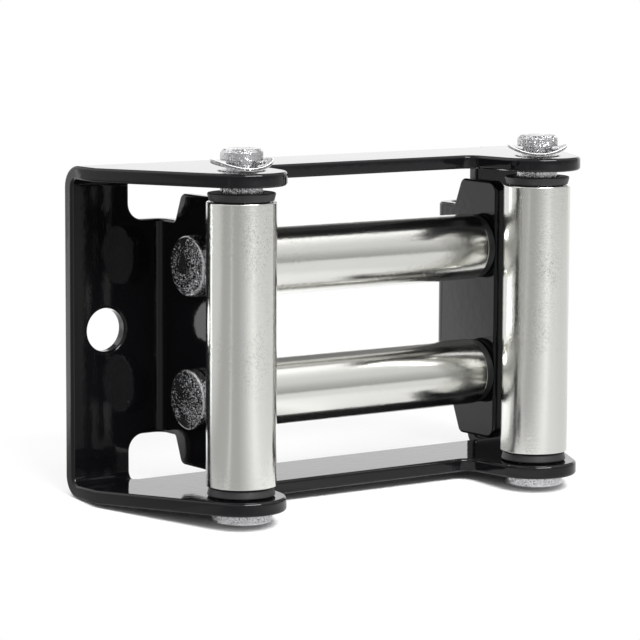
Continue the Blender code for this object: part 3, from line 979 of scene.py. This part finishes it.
def build_world():
    """Make the studio's walls: white to the camera, shaded round the fairlead."""
    world = bpy.data.worlds.new("studio")
    world.use_nodes = True
    world.node_tree.nodes.clear()
    graph = Graph(world.node_tree)
    seen = graph.node("ShaderNodeLightPath", output="Is Camera Ray")
    way = graph.node("ShaderNodeTexCoord", output="Generated")
    across = graph.node("ShaderNodeSeparateXYZ", None, {"Vector": way}, "X")
    behind = graph.node("ShaderNodeSeparateXYZ", None, {"Vector": way}, "Y")
    rise = graph.node("ShaderNodeSeparateXYZ", None, {"Vector": way}, "Z")
    walls = wall_shade(graph, across, behind)
    ceiling = shade_ramp(graph, rise, 2, CEILING_SHADES)
    rear = graph.eased(behind, *REAR_CEILING_EDGE)
    ceiling = graph.mix(rear, ceiling, even_shade(REAR_CEILING_SHADE))
    left = graph.eased(-1.0 * across, *LEFT_CEILING_EDGE)
    ceiling = graph.mix(left * rear, ceiling, even_shade(LEFT_CEILING_SHADE))
    above = graph.eased(rise - REAR_WALL_RISE * rear, *WALL_TOP)
    studio = graph.node("ShaderNodeBackground", None,
                        {"Color": graph.mix(above, walls, ceiling),
                         "Strength": SHADE_PEAK})
    white = graph.node("ShaderNodeBackground", None, {"Color": WHITE})
    mixed = graph.node("ShaderNodeMixShader", None, {0: seen, 1: studio, 2: white})
    leave = graph.tree.nodes.new("ShaderNodeOutputWorld")
    graph.feed(leave.inputs["Surface"], mixed)
    bpy.context.scene.world = world


def hang_softbox(settings):
    """Hang the softbox over the front of the fairlead, out of the camera's sight."""
    way = direction(0.0, settings.lamp_elevation)
    lamp = bpy.data.lights.new("key_softbox", "AREA")
    lamp.shape = "RECTANGLE"
    lamp.size = settings.lamp_width
    lamp.size_y = settings.lamp_height
    lamp.energy = settings.lamp_brightness * math.pi * lamp.size * lamp.size_y
    item = bpy.data.objects.new("key_softbox", lamp)
    item.matrix_world = (Matrix.Translation(Vector(settings.aim)
                                            + way * settings.lamp_distance)
                         @ way.to_track_quat("Z", "Y").to_matrix().to_4x4())
    item.visible_camera = False
    bpy.context.scene.collection.objects.link(item)


def set_camera(settings):
    """Put the camera where the photograph was taken from."""
    aim = Vector(settings.aim)
    back = direction(settings.azimuth, settings.elevation)
    right = Vector((math.cos(settings.azimuth), math.sin(settings.azimuth), 0.0))
    up = back.cross(right)
    turned_right = math.cos(settings.roll) * right + math.sin(settings.roll) * up
    turned_up = math.cos(settings.roll) * up - math.sin(settings.roll) * right
    turn = Matrix((turned_right, turned_up, back)).transposed().to_4x4()
    camera = bpy.data.cameras.new("camera")
    camera.lens = settings.lens
    camera.clip_start = CLIP_START
    item = bpy.data.objects.new("camera", camera)
    item.matrix_world = Matrix.Translation(aim + back * settings.distance) @ turn
    bpy.context.scene.collection.objects.link(item)
    bpy.context.scene.camera = item


class FAIRLEAD_OT_stage(bpy.types.Operator):
    """Set the floor, walls, softbox and camera"""

    bl_idname = "fairlead.stage"
    bl_label = "Set Stage"

    def execute(self, context):
        """Build the studio."""
        settings = context.scene.fairlead_stage
        build_floor(settings)
        build_world()
        hang_softbox(settings)
        set_camera(settings)
        context.scene.view_settings.view_transform = "Standard"
        return {"FINISHED"}


STEPS = (
    ("frame", FrameSettings, FAIRLEAD_OT_frame),
    ("tubes", TubeSettings, FAIRLEAD_OT_tubes),
    ("bushings", BushingSettings, FAIRLEAD_OT_bushings),
    ("pins", PinSettings, FAIRLEAD_OT_pins),
    ("clips", ClipSettings, FAIRLEAD_OT_clips),
    ("stage", StageSettings, FAIRLEAD_OT_stage),
)


class FAIRLEAD_PT_sidebar(bpy.types.Panel):
    """Settings and steps of the fairlead"""

    bl_idname = "FAIRLEAD_PT_sidebar"
    bl_label = "Fairlead"
    bl_space_type = "VIEW_3D"
    bl_region_type = "UI"
    bl_category = "Fairlead"

    def draw(self, context):
        """List each step's settings over its button."""
        for name, group, operator in STEPS:
            box = self.layout.box()
            settings = getattr(context.scene, "fairlead_" + name)
            for label in group.__annotations__:
                box.prop(settings, label)
            box.operator(operator.bl_idname)


def register():
    """Register the settings, the operators and the panel."""
    for name, group, operator in STEPS:
        bpy.utils.register_class(group)
        pointer = bpy.props.PointerProperty(type=group)
        setattr(bpy.types.Scene, "fairlead_" + name, pointer)
        bpy.utils.register_class(operator)
    bpy.utils.register_class(FAIRLEAD_PT_sidebar)


def unregister():
    """Take away what register added."""
    bpy.utils.unregister_class(FAIRLEAD_PT_sidebar)
    for name, group, operator in reversed(STEPS):
        bpy.utils.unregister_class(operator)
        delattr(bpy.types.Scene, "fairlead_" + name)
        bpy.utils.unregister_class(group)


def main():
    """Run every step in order."""
    register()
    for name, _, _ in STEPS:
        getattr(bpy.ops.fairlead, name)()


if __name__ == "__main__":
    main()
